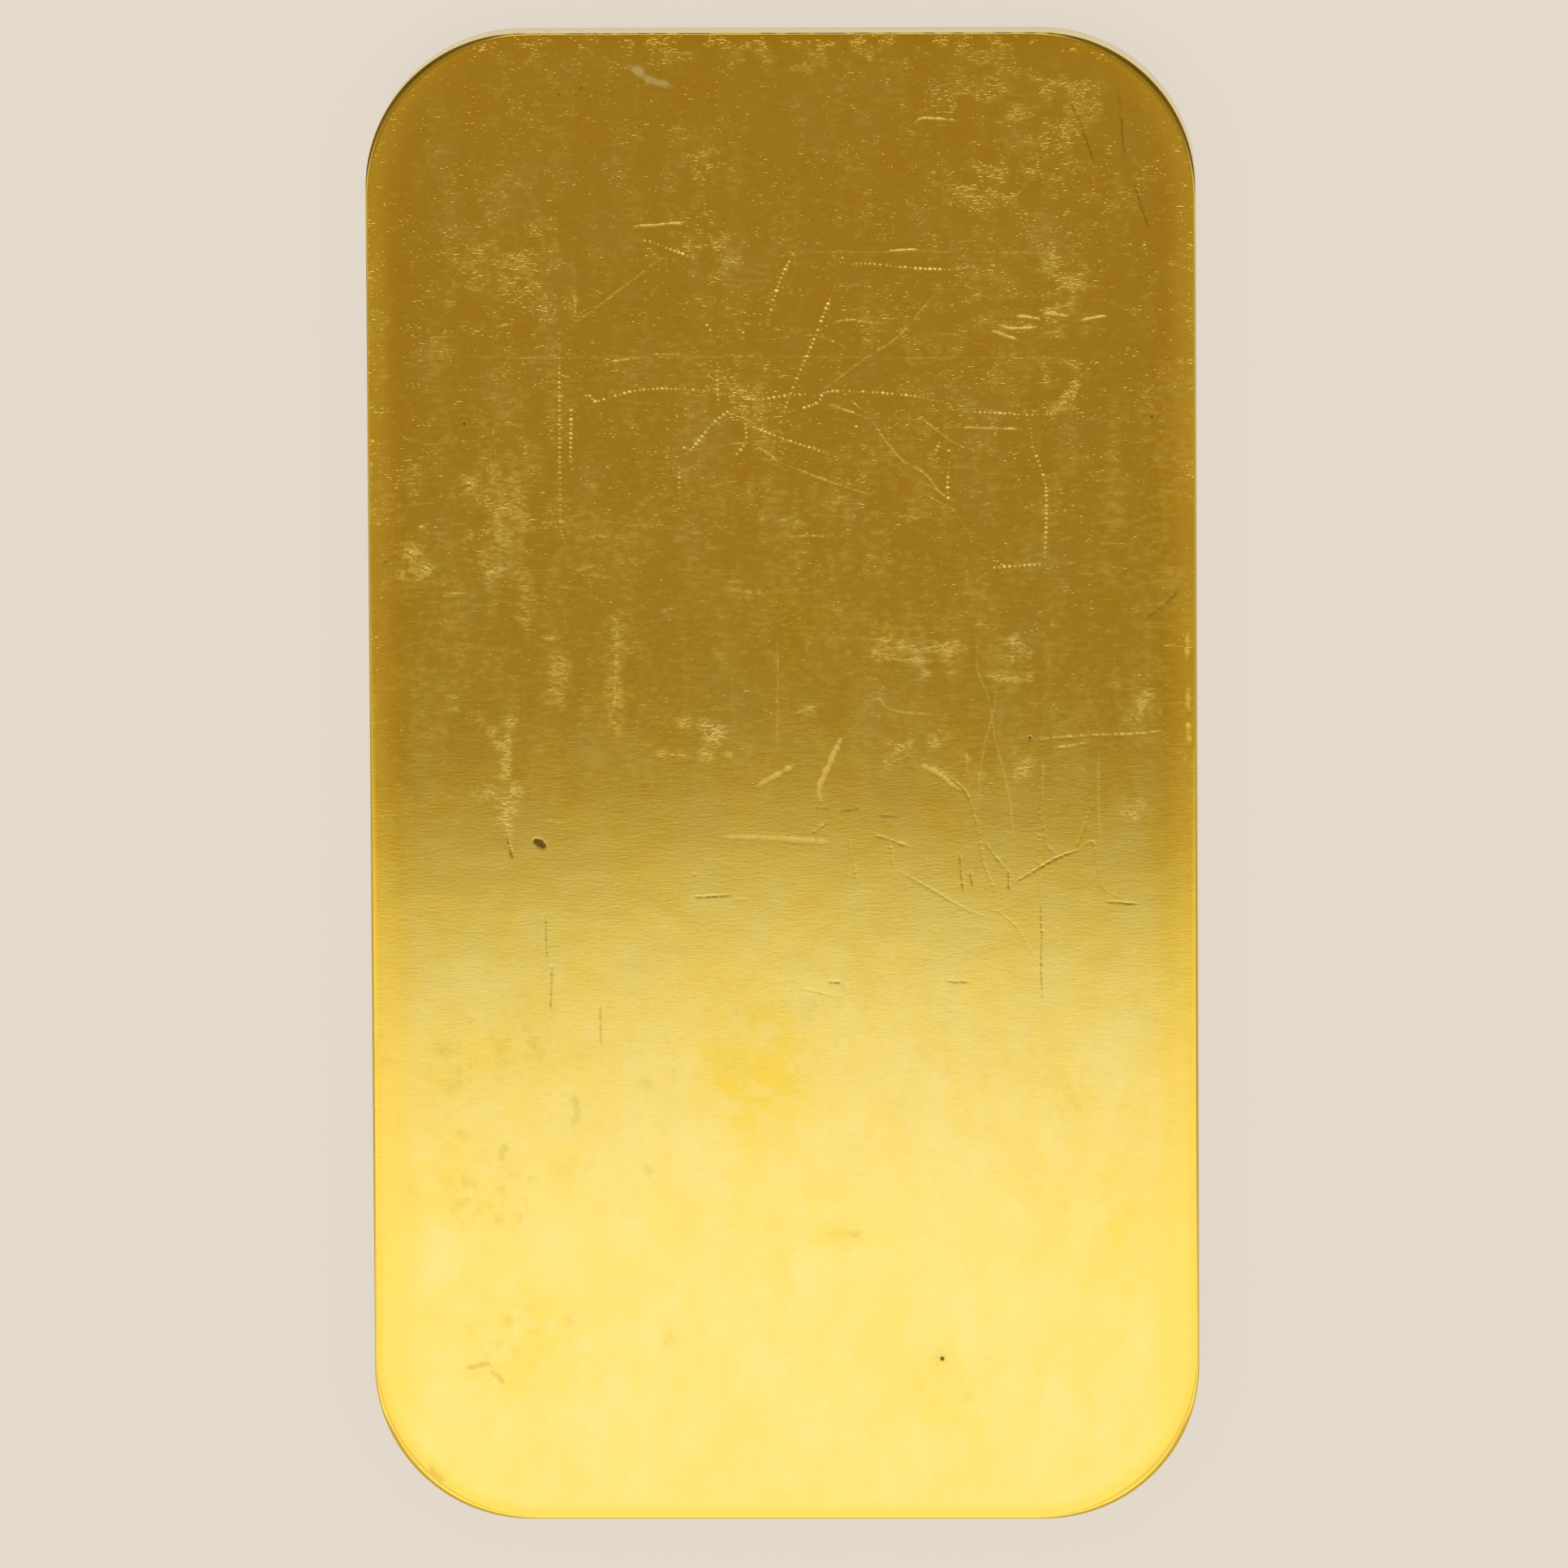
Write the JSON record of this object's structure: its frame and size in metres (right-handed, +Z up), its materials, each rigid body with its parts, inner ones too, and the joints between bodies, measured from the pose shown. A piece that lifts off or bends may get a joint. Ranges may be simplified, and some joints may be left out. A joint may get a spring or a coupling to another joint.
{
  "type": "gold bar ingot",
  "caption": "Flat rounded-rectangle gold bar, blanked from rolled strip, with a plain scratched face, for storing or stacking as raw stock.",
  "frame": {"origin": "middle of the underside, on the surface that the bar lies on", "axes": "+Z up out of the plain face, +Y along the bar, +X across it"},
  "size_m": [0.024, 0.0434, 0.0016],
  "materials": {
    "gold": null
  },
  "bodies": {
    "root": {"gold_bar": "gold"}
  },
  "joints": []
}
